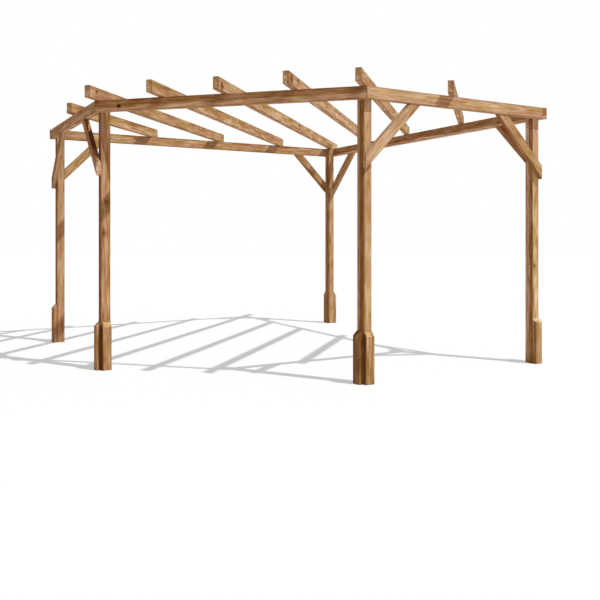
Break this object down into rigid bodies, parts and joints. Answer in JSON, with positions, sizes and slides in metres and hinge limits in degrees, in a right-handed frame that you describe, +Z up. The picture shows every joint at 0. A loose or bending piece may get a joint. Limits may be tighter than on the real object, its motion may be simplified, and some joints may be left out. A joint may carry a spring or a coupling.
{
  "type": "five-sided corner pergola",
  "caption": "Open timber pergola with a corner plan: posts with foot blocks and diagonal braces carry a ring of beams and parallel rafters, open at the cut-off front corner.",
  "frame": {"origin": "on the ground under the middle of the part's bounding box", "axes": "+Z up, +X to the right along the open front side, +Y from the open front towards the rear corner post"},
  "size_m": [5.0912, 4.402, 2.382],
  "materials": {
    "post_timber": "brown stained softwood, matte",
    "beam_timber": "brown stained softwood, matte",
    "rafter_timber": "brown stained softwood, matte",
    "brace_timber": "brown stained softwood, matte",
    "block_timber": "brown stained softwood, matte"
  },
  "bodies": {
    "root": {"beam_front": "beam_timber", "beam_left_side": "beam_timber", "beam_rear_left": "beam_timber", "beam_rear_right": "beam_timber", "beam_right_side": "beam_timber", "brace_front_left_side": "brace_timber", "brace_front_right_side": "brace_timber", "brace_left_rear": "brace_timber", "brace_left_side": "brace_timber", "brace_rear_left": "brace_timber", "brace_rear_right": "brace_timber", "brace_right_rear": "brace_timber", "brace_right_side": "brace_timber", "foot_block_front_left_entry": "block_timber", "foot_block_front_left_side": "block_timber", "foot_block_front_right_entry": "block_timber", "foot_block_front_right_side": "block_timber", "foot_block_left_rear": "block_timber", "foot_block_left_side": "block_timber", "foot_block_rear_left": "block_timber", "foot_block_rear_right": "block_timber", "foot_block_right_rear": "block_timber", "foot_block_right_side": "block_timber", "post_front_left": "post_timber", "post_front_right": "post_timber", "post_left": "post_timber", "post_rear": "post_timber", "post_right": "post_timber", "rafter_1": "rafter_timber", "rafter_2": "rafter_timber", "rafter_3": "rafter_timber", "rafter_4": "rafter_timber", "rafter_5": "rafter_timber", "rafter_6": "rafter_timber", "rafter_7": "rafter_timber"}
  },
  "joints": []
}
